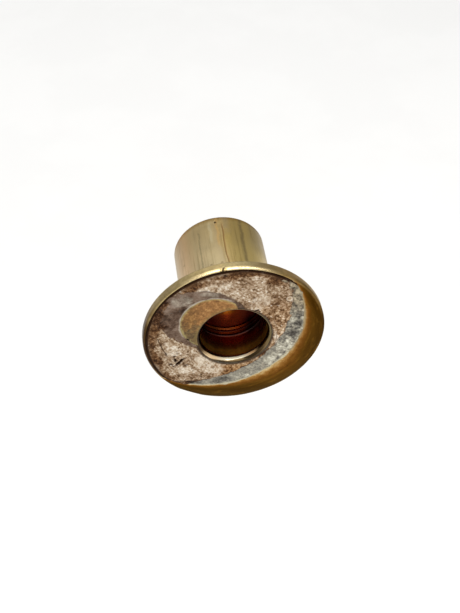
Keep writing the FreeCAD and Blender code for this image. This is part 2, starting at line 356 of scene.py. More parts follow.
def make_casting():
    """The casting: its section turned about the axis, then worn, nicked and pitted."""
    outline, angles = casting_outline(), turns_round()
    radius, level, angle, out_r, out_y = turned(outline, angles)
    x, z = radius * np.cos(angle), radius * np.sin(angle)
    place = (x, level, z)
    on_face = (level < FACE + 0.05) & (radius > LIP + 0.1)
    on_barrel = (level > ROOT_ROUND * 0.5) & (radius > BARREL - 0.1)
    nicked, cut = rim_nicks(radius, level, angle)
    off_seam = np.abs(seam_offset(angle, level)) / SEAM_WIDTH
    hole = np.hypot((angle - math.radians(PINHOLE[0])) * BARREL, level - PINHOLE[1]) / PINHOLE[2]
    pit = blobs(x, z, [PATCH_PIT]) * on_face

    offset = 0.035 * smooth_noise(place, 8.0, 51) + 0.008 * fractal(place, 1.6, 52, 2)
    offset = offset * ease(np.abs(level), 0.0, 0.6)  # the seating face stays flat
    offset -= on_face * 0.02 * (1 + fractal(place, 2.2, 53))
    offset -= cut + PIT_DEPTH * pit
    seam = np.clip(1 - off_seam, 0, 1) * ease(level, TAIL - 1.5, TAIL - 4.0)
    offset -= on_barrel * (SEAM_DEPTH * seam + PINHOLE_DEPTH * ease(hole, 1.0, 0.3))

    radius = radius + out_r * offset
    level = level + out_y * offset
    outboard = (radius > LIP + 0.1) & (level < -0.4)
    worn = wear_level(x, z) + (level - FACE) * 0.15
    level = np.where(outboard, np.maximum(level, worn), level)
    radius = filed(radius, level, angle)
    x, z = radius * np.cos(angle), radius * np.sin(angle)
    attributes = {
        "worn": np.where(outboard, wear_reach(x, z), -9),
        "patch": -patch_gap(x, z),
        "crack": on_barrel * np.clip(1.6 - off_seam, 0, 1) * ease(level, TAIL - 2.0, TAIL - 5.0),
        "pit": np.maximum.reduce([pit, nicked, on_barrel * ease(hole, 1.1, 0.6)]),
    }
    points = np.stack([x, level, z], -1).reshape(-1, 3)
    quads = closed_quads(len(outline), len(angles))
    return make_object("casting", points, quads, "fitting_body", attributes)


def kept_squares(depth_at, x, z):
    """Which of a grid's squares are inside an outline, with no two that touch by a corner alone."""
    kept = depth_at(x, z) > 0
    for _ in range(12):  # filling one corner can open another
        a, b, c, d = kept[:-1, :-1], kept[1:, 1:], kept[1:, :-1], kept[:-1, 1:]
        falling, rising = a & b & ~c & ~d, c & d & ~a & ~b
        if not (falling | rising).any():
            break
        kept[1:, :-1] |= falling
        kept[:-1, :-1] |= rising
    return kept


def onto_outline(x, z, at_border, depth_at, cell):
    """A grid's points, with those at its border moved onto the outline."""
    nudge, limit = 0.02, 0.45 * cell
    for _ in range(3):
        here = depth_at(x, z)
        slope_x = (depth_at(x + nudge, z) - here) / nudge
        slope_z = (depth_at(x, z + nudge) - here) / nudge
        steep = np.maximum(slope_x**2 + slope_z**2, 0.3)
        x = x + at_border * np.clip(-here * slope_x / steep, -limit, limit)
        z = z + at_border * np.clip(-here * slope_z / steep, -limit, limit)
    return x, z


def film_quads(kept, used):
    """Faces over the kept squares: the top, the underside, and the walls between them."""
    total = used.sum()
    number = np.full(used.shape, -1)
    number[used] = np.arange(total)
    padded = np.pad(kept, 1)
    i, j = np.nonzero(kept)
    top = np.stack([number[i, j], number[i + 1, j], number[i + 1, j + 1], number[i, j + 1]], -1)
    bottom = top[:, ::-1] + total
    walls = []
    for first, second, di, dj in ((0, 1, 0, -1), (1, 2, 1, 0), (2, 3, 0, 1), (3, 0, -1, 0)):
        outside = ~padded[i + 1 + di, j + 1 + dj]
        one, two = top[outside, first], top[outside, second]
        walls.append(np.stack([two, one, one + total, two + total], -1))
    return np.concatenate([top, bottom, *walls])


def film(name, replaced, depth_at, height_at, floor, cell, extra):
    """A thin closed film of paint on the outboard face. depth_at(x, z) is the distance inside its outline,
    height_at(x, z, depth) its top level, and floor the level of its hidden underside."""
    count = int(2 * FLANGE / cell) + 2
    places = (np.arange(count) - count / 2) * cell
    px, pz = np.meshgrid(places, places, indexing="ij")
    kept = kept_squares(depth_at, px[:-1, :-1] + cell / 2, pz[:-1, :-1] + cell / 2)
    padded = np.pad(kept, 1)
    around = [padded[:-1, :-1], padded[1:, :-1], padded[:-1, 1:], padded[1:, 1:]]
    used = np.logical_or.reduce(around)
    at_border = ~np.logical_and.reduce(around)[used]
    x, z = onto_outline(px[used], pz[used], at_border, depth_at, cell)
    depth = np.maximum(depth_at(x, z), 0) * ~at_border

    upper = np.stack([x, height_at(x, z, depth), z], -1)
    lower = np.stack([x, np.full_like(x, floor), z], -1)
    attributes = {"edge": np.tile(depth, 2)}
    for key, mask in extra.items():
        attributes[key] = np.tile(mask(x, z), 2)
    points = np.concatenate([upper, lower])
    return make_object(name, points, film_quads(kept, used), replaced, attributes)


# Lighter and darker patches of the coats, as (across, up, half width, half height, turn in degrees).
TOPCOAT_LIGHT = [
    (-2.5, 19.0, 2.3, 1.8, 20), (-7.5, 19.0, 2.6, 1.2, 10), (6.5, 12.5, 3.6, 2.2, 40),
    (5.0, 11.0, 1.6, 1.4, 0), (-18.0, -3.0, 1.8, 3.2, -12), (-13.0, -12.0, 3.4, 1.6, -20),
    (-8.5, -9.5, 3.6, 2.6, -30), (-5.5, -13.5, 2.4, 1.2, 0), (11.0, -1.0, 0.8, 3.6, 10),
    # The last of these lightens the raised ring: a painted glint.
    (14.0, 12.3, 0.4, 0.25, 20), (12.0, 11.0, 0.4, 0.3, -30), (15.3, 13.0, 0.9, 0.9, 0),
]
TOPCOAT_BROWN = [
    (8.0, -7.9, 3.6, 0.6, 45), (-23.2, 3.0, 1.9, 7.0, -3), (-22.4, -6.0, 1.3, 4.6, 18),
    (1.5, 22.6, 8.0, 1.3, -3), (11.0, 19.8, 4.0, 1.5, -38), (-11.0, 19.8, 4.0, 1.6, 30),
    (-17.5, 15.8, 2.0, 1.0, 45), (-19.0, -13.5, 3.5, 1.4, -45),
]
PRIMER_LIGHT = [
    (-14.3, 15.6, 2.9, 2.1, 30), (-12.0, 13.2, 2.0, 0.8, 35), (-6.0, 16.8, 3.2, 1.3, -5),
    (11.0, -10.0, 4.2, 1.6, 38), (14.5, -6.0, 2.2, 1.4, 50), (3.0, -16.0, 3.4, 1.0, 12),
    (17.8, 15.6, 0.7, 2.8, 25), (17.5, 9.5, 1.2, 2.0, 5),
]
PRIMER_DARK = [
    (16.8, 0.8, 1.6, 3.0, -10), (-15.6, 10.6, 3.3, 1.6, 42), (-17.4, 7.0, 2.0, 1.6, 80),
    (-3.5, -17.0, 2.4, 1.1, 5), (-13.0, -16.6, 6.0, 0.8, -8),
]
PRIMER_BROWN = [
    (-21.9, 8.5, 3.2, 6.4, -12), (-19.6, 14.2, 2.2, 1.8, -45), (-14.0, -16.6, 4.6, 1.2, -16),
]


def warped(x, z):
    """The place on the face, pushed about a little, so that patches drawn on it look irregular."""
    return x + 1.3 * fractal((x, z), 3.0, 61), z + 1.3 * fractal((x, z), 3.0, 64)


def make_primer():
    """The grey primer, sanded to nothing at its outer edges."""

    def depth_at(x, z):
        return np.minimum(primer_depth(x, z), chip_depth(x, z, CHIPS))

    def height_at(x, z, depth):
        thick = (FACE - PRIMER_TOP) * (0.25 + 0.75 * ease(depth, 0.0, 1.2))
        return FACE - thick - 0.02 * fractal((x, z), 0.9, 71) * ease(depth, 0, 0.5)

    extra = {
        "brown": lambda x, z: blobs(*warped(x, z), PRIMER_BROWN),
        "light": lambda x, z: blobs(*warped(x, z), PRIMER_LIGHT),
        "dark": lambda x, z: blobs(*warped(x, z), PRIMER_DARK),
        "feather": lambda x, z: -away(x, z, WEAR_CENTRE, WEAR_RADIUS),
        "patch_rim": patch_gap,
        "chip": lambda x, z: chip_depth(x, z, CHIPS),
    }
    return film("primer", "primer_coat", depth_at, height_at, PRIMER_FLOOR, PRIMER_CELL, extra)


def make_topcoat():
    """The tan topcoat: thick, chalky and chipped, and thin where it was sanded."""

    def depth_at(x, z):
        return np.minimum(topcoat_depth(x, z), chip_depth(x, z, CHIPS) - 0.05)

    def height_at(x, z, depth):
        thick = (PRIMER_TOP - TOPCOAT_TOP) * (0.5 + 0.5 * ease(depth, 0.0, 0.5))
        rough = 0.045 * fractal((x, z), 1.7, 81, 4) + 0.02 * fractal((x, z), 0.5, 85, 2)
        lifted = 0.12 * ease(chip_depth(x, z, CHIPS), 0.7, 0.2)
        lifted += 0.15 * ease(np.abs(away(x, z, *BUBBLE)), 0.3, 0.05)
        return PRIMER_TOP - thick - (rough + lifted) * ease(depth, 0, 0.35)

    extra = {
        "brown": lambda x, z: blobs(*warped(x, z), TOPCOAT_BROWN),
        "light": lambda x, z: blobs(*warped(x, z), TOPCOAT_LIGHT),
    }
    return film("topcoat_film", "topcoat", depth_at, height_at, TOPCOAT_FLOOR, TOPCOAT_CELL, extra)


# ---- Materials ----


class Value:
    """A number or vector worked out by a material's nodes. Arithmetic on it adds nodes."""

    def __init__(self, look, socket):
        self.look, self.socket = look, socket

    def __add__(self, other):
        return self.look.math("ADD", self, other)

    def __sub__(self, other):
        return self.look.math("SUBTRACT", self, other)

    def __mul__(self, other):
        return self.look.math("MULTIPLY", self, other)

    def __rsub__(self, other):
        return self.look.math("SUBTRACT", other, self)

    __radd__ = __add__


class Look:
    """A material under construction, with a few short ways to add nodes. Lengths are in millimetres."""

    def __init__(self, name):
        self.material = bpy.data.materials.new(name)
        self.material.use_nodes = True
        self.nodes, self.links = self.material.node_tree.nodes, self.material.node_tree.links
        self.shader = next(n for n in self.nodes if n.type == "BSDF_PRINCIPLED")
        place = self.made("ShaderNodeTexCoord", output="Object")
        grown = {"Vector": place, "Scale": 1 / MM}
        self.place = self.made("ShaderNodeVectorMath", grown, operation="SCALE")
        split = self.node("ShaderNodeSeparateXYZ", {"Vector": self.place})
        self.x, self.y, self.z = (Value(self, split.outputs[k]) for k in range(3))
        self.depth = self.y - FACE  # behind the outboard face
        self.radius = self.length(self.x, self.z)
        self.turn = self.math("ARCTAN2", self.z, self.x) * (180 / math.pi)
        # Radius across and distance round the rim up.
        unrolled = {"X": self.radius, "Z": self.turn * (math.pi / 180 * FLANGE)}
        self.unrolled = self.made("ShaderNodeCombineXYZ", unrolled)

    def node(self, kind, inputs=None, **settings):
        """A new node, with its settings, and with its inputs plugged in or set."""
        node = self.nodes.new(kind)
        for key, value in settings.items():
            setattr(node, key, value)
        for key, value in (inputs or {}).items():
            self.plug(node.inputs[key], value)
        return node

    def made(self, kind, inputs=None, output=0, **settings):
        """What a new node makes."""
        return Value(self, self.node(kind, inputs, **settings).outputs[output])

    def plug(self, socket, value):
        """Links a worked-out value to a socket, or sets the socket to a plain one."""
        if isinstance(value, Value):
            self.links.new(value.socket, socket)
        else:
            socket.default_value = value

    def math(self, operation, *values):
        return self.made("ShaderNodeMath", dict(enumerate(values)), operation=operation)

    def length(self, across, up):
        return self.math("SQRT", across * across + up * up)

    def most(self, *values):
        """The largest of several values."""
        largest = values[0]
        for value in values[1:]:
            largest = self.math("MAXIMUM", largest, value)
        return largest

    def attribute(self, name):
        return self.made("ShaderNodeAttribute", output="Fac", attribute_name=name)

    def ease(self, value, low, high):
        """0 at low, 1 at high, smooth between. Low may be the larger."""
        inputs = {"Value": value}
        for end, (place, result) in zip(("Min", "Max"), sorted([(low, 0.0), (high, 1.0)])):
            inputs["From " + end], inputs["To " + end] = place, result
        return self.made("ShaderNodeMapRange", inputs, interpolation_type="SMOOTHSTEP")

    def between(self, value, low, high, soft):
        """1 from low to high, fading to 0 over the soft distance outside."""
        return self.ease(value, low - soft, low) * self.ease(value, high + soft, high)

    def moved(self, size, stretch, shift, tilt, place=None):
        """The place, turned about Y by a tilt in degrees, then measured in units of this size."""
        inputs = {
            "Vector": place or self.place,
            "Location": (shift, shift * 0.7, -shift),
            "Rotation": (0, math.radians(tilt), 0),
            "Scale": [size * s for s in stretch],
        }
        return self.made("ShaderNodeMapping", inputs, vector_type="TEXTURE")

    def noise(
        self, size, detail=4.0, rough=0.6, stretch=(1, 1, 1), shift=0.0, tilt=0.0, twist=0.0, place=None
    ):
        """Fractal noise round 0, mostly from -0.2 to 0.2, with bumps of about this size."""
        inputs = {"Vector": self.moved(size, stretch, shift, tilt, place), "Scale": 1.0}
        inputs.update({"Detail": detail, "Roughness": rough, "Distortion": twist})
        return self.made("ShaderNodeTexNoise", inputs, "Fac") - 0.5

    def dots(self, size, reach, shift=0.0):
        """1 at scattered points about this far apart, and 0 beyond a reach, as a share of that distance."""
        inputs = {"Vector": self.moved(size, (1, 1, 1), shift, 0), "Scale": 1.0}
        return self.ease(self.made("ShaderNodeTexVoronoi", inputs, "Distance"), reach, reach * 0.5)

    def ramp(self, value, stops):
        """A colour for a number. stops are (number, screen colour 0 to 255), with numbers going up."""
        low, high = stops[0][0], stops[-1][0]
        node = self.node("ShaderNodeValToRGB", {"Fac": (value - low) * (1 / (high - low))})
        elements = node.color_ramp.elements
        while len(elements) < len(stops):
            elements.new(0.5)
        for element, (number, colour) in zip(elements, stops):
            element.position = (number - low) / (high - low)
            element.color = linear(colour)
        return Value(self, node.outputs["Color"])

    def mix(self, share, first, second, blend="MIX"):
        """first where share is 0, second where it is 1. Either may be a screen colour 0 to 255."""
        first, second = (c if isinstance(c, Value) else linear(c) for c in (first, second))
        inputs = {"Factor": share, 6: first, 7: second}
        return self.made("ShaderNodeMix", inputs, 2, data_type="RGBA", blend_type=blend)

    def paint(self, colour, layers, blend="MIX"):
        """The colour with layers over it, the lowest first. Each is (share, colour)."""
        for share, over in layers:
            colour = self.mix(share, colour, over, blend)
        return colour

    def shade(self, share, colour, factor):
        """The colour, darkened or tinted by a screen colour where share is 1."""
        return self.mix(share, colour, factor, "MULTIPLY")

    def bump(self, height, strength, under=None):
        """A normal for a height in millimetres."""
        inputs = {"Height": height * MM, "Distance": 1.0, "Strength": strength}
        if under is not None:
            inputs["Normal"] = under
        return self.made("ShaderNodeBump", inputs)

    def finish(self, colour, rough, normal, metal):
        inputs = {"Base Color": colour, "Roughness": rough, "Metallic": metal, "Normal": normal}
        for name, value in inputs.items():
            self.plug(self.shader.inputs[name], value)
        return self.material


def linear(colour):
    """A screen colour, 0 to 255, as the linear colour that nodes take."""
    shares = [c / 255 for c in colour]
    return [c / 12.92 if c <= 0.04045 else ((c + 0.055) / 1.055) ** 2.4 for c in shares] + [1.0]


# The barrel's tint all round, by the angle in degrees from +X towards +Z. The lighter, pinker tints on the
# left are partly the brass's own tone and partly painted warm reflection.
BARREL_TINTS = [
    (-180, (200, 184, 152)), (-120, (196, 182, 142)), (0, (196, 182, 142)),
    (22, (224, 202, 152)), (38, (218, 195, 132)), (54, (208, 184, 116)),
    (74, (206, 181, 114)), (85, (190, 166, 110)), (94, (181, 163, 126)),
    (104, (194, 176, 135)), (115, (214, 194, 150)), (127, (232, 209, 161)),
    (144, (232, 200, 155)), (157, (207, 180, 141)), (180, (200, 184, 152)),
]
# Stains that run along the barrel: angle, half width in degrees, from and to level, colour and strength.
STAINS = [
    (64.2, 3.4, 13.0, 34.0, (112, 96, 64), 0.60),
    (72.0, 7.0, 22.0, 31.0, (150, 134, 92), 0.20),
    (119.6, 1.5, 14.0, 28.0, (128, 116, 84), 0.50),
    (126.0, 4.0, 16.0, 32.0, (172, 160, 126), 0.15),
    (95.2, 2.4, 22.5, 31.5, (190, 150, 84), 0.45),
    (83.0, 5.5, 22.0, 27.0, (184, 160, 86), 0.30),
    (84.0, 7.0, 27.0, 36.0, (154, 138, 112), 0.45),
    (104.0, 3.0, 24.0, 30.0, (206, 196, 160), 0.35),
]
# Small dark spots on the barrel: angle, level and radius.
SPOTS = [(108.5, 13.6, 0.5), (95.6, 13.5, 0.6), (104.0, 12.2, 0.4), (150.0, 20.5, 0.5)]


def barrel_colour(look, cloud, streaks):
    """Pinkish on the left, khaki on top and olive on the right, browner towards the inboard end."""
    wander = cloud * 16 + look.noise(3.0, 3, 0.6, stretch=(1, 6, 1), shift=19) * 12
    on_right = look.between(look.turn, -20, 36, 24)
    shades = [
        (look.ease(streaks, 0.0, -0.16) * 0.5, (206, 196, 176)),
        (look.ease(look.y, 12, 31), (228, 222, 208)),
        (on_right * look.ease(look.y, 17, 26), (200, 196, 174)),
        (look.ease(look.y, TAIL - 2.2, TAIL - 0.6), (226, 212, 186)),
    ]
    # The ramp's lighter, pinker left side is partly painted reflection.
    colour = look.paint(look.ramp(look.turn + wander, BARREL_TINTS), shades, "MULTIPLY")
    drift = look.noise(5.0, 2, 0.5, stretch=(9, 1, 9), shift=3) * 5 + look.noise(0.8, 3, 0.6, shift=8) * 3
    patchy = look.ease(look.noise(2.6, 4, 0.6, shift=50), -0.3, 0.0)
    for angle, width, low, high, stain, strength in STAINS:
        aside = look.math("ABSOLUTE", look.turn - angle + drift)
        along = look.between(look.y, low, high, 2.5) * patchy
        colour = look.mix(look.ease(aside, width * 1.2, 0) * along * strength, colour, stain)
    for angle, level, size in SPOTS:
        gap = look.length((look.turn - angle + drift) * math.radians(BARREL), look.y - level)
        colour = look.mix(look.ease(gap, size, size * 0.4) * 0.5, colour, (128, 106, 66))
    return colour


# The worn side's colour by how far in it is. The darker browns far in are partly tarnish and partly painted
# dark reflection.
WORN_TINTS = [
    (-0.5, (206, 190, 152)), (0.1, (188, 160, 110)), (0.6, (164, 124, 70)),
    (1.2, (138, 94, 42)), (1.9, (112, 70, 22)), (2.8, (92, 56, 11)),
    (4.0, (80, 51, 7)), (6.5, (62, 37, 1)),
]


def worn_colour(look, mottle):
    """The worn side of the face: cream where the primer feathers out, then orange-brown, then dark olive."""
    reach = look.attribute("worn") + mottle * 3.0 + look.noise(0.5, 4, 0.7, shift=27) * 1.6
    reach = reach * (1.0 - look.ease(look.z, -9, 1) * 0.35)
    # Its darker browns are partly painted dark reflection.
    colour = look.ramp(reach, WORN_TINTS)
    rubbing_and_highlight = look.noise(1.1, 5, 0.6, stretch=(1, 1, 9), shift=33, place=look.unrolled)
    colour = look.mix(look.ease(rubbing_and_highlight + mottle * 0.3, 0.0, 0.2) * 0.5, colour, (124, 86, 28))
    colour = look.shade(look.ease(rubbing_and_highlight, 0.0, -0.2) * 0.5, colour, (200, 180, 150))
    greyer = look.ease(look.z, -11, -3) * look.ease(reach, 1.1, 0.1)
    colour = look.mix(greyer * 0.6, colour, (128, 118, 98))
    pits = look.dots(1.3, 0.2, 35) * look.ease(mottle, -0.05, 0.1)
    return look.shade(pits * 0.6, colour, (120, 96, 70))


def patch_colour(look, mottle):
    """The bare patch beside the mouth: orange-tan and speckled, olive below and pale green at its border."""
    speckle = look.noise(0.6, 6, 0.75, shift=23)
    stops = [(-0.20, (96, 60, 22)), (-0.05, (132, 90, 42)), (0.05, (148, 103, 52)), (0.20, (186, 142, 84))]
    colour = look.ramp(speckle + mottle * 0.6, stops)
    colour = look.shade(look.ease(look.x + mottle * 6, -9, -12), colour, (226, 226, 206))
    low = look.ease(look.z + mottle * 9, 7.5, 2.5)
    olive = look.mix(look.ease(speckle, -0.1, 0.1), (68, 52, 26), (112, 92, 54))
    colour = look.mix(low * 0.85, colour, olive)
    off_centre = look.length(look.x - PATCH[0][0], look.z - PATCH[0][1]) + mottle * 2.2
    colour = look.mix(look.ease(off_centre, PATCH[1] - 0.8, PATCH[1] - 0.1) * 0.5, colour, (176, 166, 110))
    near_mouth = look.ease(look.radius - PRIMER_HOLE + mottle * 2, 1.15, 0.15)
    return look.mix(near_mouth * 0.5, colour, (120, 100, 52))


# Two painted highlight rings in the waterway, near the grooves' far walls: depth behind the outboard face,
# and colour.
HIGHLIGHT_RINGS = [(11.42, (84, 32, 9)), (12.72, (112, 54, 22))]


def bore_colour(look, mottle):
    """Golden brown just inside the mouth and dark red-brown further in, with painted highlights on two rings
    and painted shade in and beside the grooves.
    """
    depth = look.depth
    colour = look.mix(look.ease(depth + mottle * 5, 3.8, 7.6), (178, 140, 48), (126, 46, 12))
    colour = look.shade(look.between(depth + mottle * 3, 4.8, 6.0, 1.0), colour, (190, 180, 180))
    colour = look.shade(look.ease(depth, 13.0, 20.0), colour, (220, 210, 150))
    low = look.ease(look.math("ABSOLUTE", look.turn + 90), 24, 8)
    colour = look.mix(look.ease(depth + mottle * 3, 18.0, 21.0) * low * 0.6, colour, (164, 104, 10))
    # Painted shade over the grooves at the sides, away from the light.
    beside = look.ease(look.math("ABSOLUTE", look.turn + 94), 26, 44) * look.between(depth, 9.0, 14.0, 2.0)
    # Random mottling, then a painted shadow of the first groove's near wall, the sides' painted shade, and
    # painted shade over the land between the grooves and at the first groove's near edge.
    shades = [
        (look.ease(mottle, 0.02, -0.12) * 0.5, (200, 180, 170)),
        (look.between(depth, 10.2, 10.9, 0.3) * 0.8, (84, 60, 50)),
        (beside, (104, 74, 64)),
        (look.between(depth, 11.0, 12.1, 0.15), (170, 150, 140)),
        (look.between(depth, 9.6, 10.0, 0.15) * 0.6, (150, 130, 110)),
    ]
    colour = look.paint(colour, shades, "MULTIPLY")
    # The rings' painted highlights, only low down, where the light would catch them.
    lit = look.between(look.turn, -121, -84, 10)
    for level, ring in HIGHLIGHT_RINGS:
        colour = look.mix(look.between(depth, level - 0.12, level + 0.12, 0.12) * lit, colour, ring)
    return colour


# The lip's tint round the mouth, by the angle in degrees from +X towards +Z.
LIP_TINTS = [
    (-180, (40, 24, 10)), (-150, (84, 64, 40)), (-135, (160, 134, 98)),
    (-120, (190, 162, 120)), (-75, (150, 130, 92)), (-60, (98, 78, 52)),
    (-45, (96, 76, 50)), (-30, (124, 102, 70)), (-10, (104, 90, 60)),
    (10, (112, 98, 68)), (40, (122, 106, 76)), (60, (124, 100, 74)),
    (90, (112, 86, 50)), (120, (62, 38, 22)), (150, (34, 20, 12)),
    (180, (40, 24, 10)),
]


def lip_colour(look):
    """The flared lip's colour with a painted highlight, and that highlight's share: most low down, and
    deeper in on the right.
    """
    depth = look.depth
    low = look.ease(look.math("ABSOLUTE", look.turn + 96), 60, 36)
    past_bottom = look.turn + 90
    shift = look.math("MINIMUM", past_bottom * 0.013, past_bottom * 0.004)
    # Where the painted highlight falls on the flare.
    rubbing_and_highlight = look.between(depth - shift, 0.62, 1.2, 0.2) * low
    # The painted highlight's colour: whitest near the bottom, warmer towards both ends.
    bright = look.mix(look.ease(look.turn, -128, -98), (240, 208, 162), (255, 247, 220))
    bright = look.mix(look.ease(look.turn, -78, -56), bright, (236, 190, 136))
    colour = look.mix(rubbing_and_highlight, look.ramp(look.turn, LIP_TINTS), bright)
    return look.mix(look.ease(depth - shift, 0.56, 0.36) * low, colour, (72, 58, 38)), rubbing_and_highlight


def rim_colour(look, cloud, mottle, front):
    """The rim, darker at the upper left, with a painted highlight round its front edge at the top, dimmed in
    places.
    """
    turn, across = look.turn + cloud * 10, look.x + cloud * 10
    rim = look.mix(look.ease(mottle, -0.15, 0.15), (176, 155, 106), (196, 174, 124))
    rim = look.mix(look.between(look.turn + cloud * 30, 64, 92, 8) * 0.35, rim, (146, 138, 106))
    rim = look.shade(look.ease(turn, 84, 62), rim, (230, 214, 190))
    rim = look.shade(look.ease(across, -16, -24), rim, (176, 166, 158))
    rim = look.shade(look.ease(across, -20, -24) * look.ease(look.z, 14, 4), rim, (150, 134, 120))
    # A painted highlight along the front round at the top.
    highlight_strip = front * look.ease(turn, 56, 84) * look.ease(look.x, -17, -8)
    rim = look.mix(highlight_strip, rim, (250, 226, 172))
    # The painted highlight, broken up at random and dimmed beside the first nick.
    highlight_breaks = look.ease(look.noise(2.4, 4, 0.6, shift=72, place=look.unrolled), 0.0, -0.16)
    beside_nick = look.between(look.turn, NICKS[0][0] - 1.6, NICKS[0][0] + 2.0, 0.8)
    return look.shade(highlight_strip * look.most(highlight_breaks * 0.6, beside_nick), rim, (188, 180, 166))


def brass_look():
    """Brass, handled and weathered: satin outside, brown where the face is worn, dark in the waterway."""
    look = Look("worn_brass")
    radius, y, depth = look.radius, look.y, look.depth
    mottle = look.noise(1.6, 6, 0.62, shift=14)
    cloud = look.noise(7, 4, 0.55, shift=9)
    streaks = look.noise(0.9, 5, 0.65, stretch=(1, 22, 1))
    fine = look.noise(0.3, 3, 0.6, stretch=(1, 26, 1), shift=4)

    front = look.ease(depth, 0.75, 0.40)
    rim = rim_colour(look, cloud, mottle, front)
    colour = look.mix(look.ease(y, 0.3, 0.9), rim, barrel_colour(look, cloud, streaks))
    colour = look.mix(look.attribute("crack") * 0.65, colour, (136, 98, 52))

    turn = look.turn + cloud * 20
    golden = look.ease(radius, FLANGE - 0.9, FLANGE - 0.3) * look.ease(turn, 4, 24)
    golden = golden * (0.3 + look.ease(turn, 36, 54) * 0.5 + look.ease(y, -2.2, -1.6) * 0.2)
    outboard = look.ease(y + cloud * 1.6 + mottle * 0.4, -0.7, -1.7)
    outboard = outboard * look.ease(radius, LIP - 0.375, LIP - 0.075) * (1.0 - golden)
    worn = look.ease(look.attribute("worn"), -1.2, -0.9) * outboard
    colour = look.mix(worn, colour, worn_colour(look, mottle))

    on_face = look.ease(depth, 0.75, 0.35)
    under_paint = on_face * look.between(radius, LIP + 0.1, PRIMER_RADIUS + 0.22, 0.08) * (1.0 - worn)
    colour = look.mix(under_paint, colour, (30, 19, 10))
    inside_patch = under_paint * look.ease(look.attribute("patch"), -0.1, 0.1)
    colour = look.mix(inside_patch, colour, patch_colour(look, mottle))
    colour = look.mix(look.attribute("pit"), colour, (40, 26, 14))
    lip = look.ease(depth, 2.3, 1.7) * look.ease(radius, LIP + 0.16, LIP + 0.06)
    # The lip, with its painted highlight, and that highlight's share.
    bare_lip, rubbing_and_highlight = lip_colour(look)
    colour = look.mix(lip, colour, bare_lip)

    in_bore = look.ease(radius, LIP, LIP - 0.2) * look.ease(depth, 1.6, 2.2)
    in_bore = in_bore * look.ease(y, TAIL - 0.4, TAIL - 1.2)
    colour = look.mix(in_bore, colour, bore_colour(look, mottle))

    smooth = look.most(in_bore * look.ease(depth, 3.5, 8.0), lip)
    rough = 0.40 + cloud * 0.25 + streaks * 0.2 + inside_patch * 0.2 - smooth * 0.18
    rough = rough - front * (1.0 - worn) * 0.12
    # Less metallic where the lip's highlight is painted.
    metal = 1.0 - inside_patch * 0.5 - rubbing_and_highlight * lip * 0.6
    glare = look.mix(look.most(worn, under_paint - inside_patch), (255, 255, 255), (254, 242, 214))
    look.plug(look.shader.inputs["Specular Tint"], glare)
    scratches = look.bump(fine * 0.03 * (1.0 - in_bore), 0.6)
    grain = mottle + look.noise(0.5, 4, 0.6, shift=31) * 0.4
    dents = look.bump(grain * (0.05 - in_bore * 0.04 - front * (1.0 - worn) * 0.02), 0.6, scratches)
    return look.finish(colour, rough, dents, metal)


# The coats' colours by tone, darkest first.
GREY_TONES = [
    (-0.22, (56, 52, 48)), (-0.10, (98, 94, 86)), (0.0, (136, 131, 118)),
    (0.10, (174, 169, 152)), (0.24, (220, 217, 200)),
]
PURPLE_TONES = [
    (-0.22, (44, 30, 22)), (-0.10, (82, 63, 50)), (0.0, (112, 93, 79)),
    (0.10, (138, 121, 107)), (0.24, (184, 168, 150)),
]
STAIN_TONES = [(-0.18, (16, 6, 0)), (-0.06, (46, 24, 8)), (0.05, (78, 50, 28)), (0.20, (134, 106, 80))]
TAN_TONES = [
    (-0.28, (46, 29, 17)), (-0.15, (94, 69, 46)), (-0.04, (137, 112, 86)),
    (0.05, (168, 145, 119)), (0.15, (198, 183, 162)), (0.30, (234, 227, 215)),
]
PAINT_GLOSS = 0.06


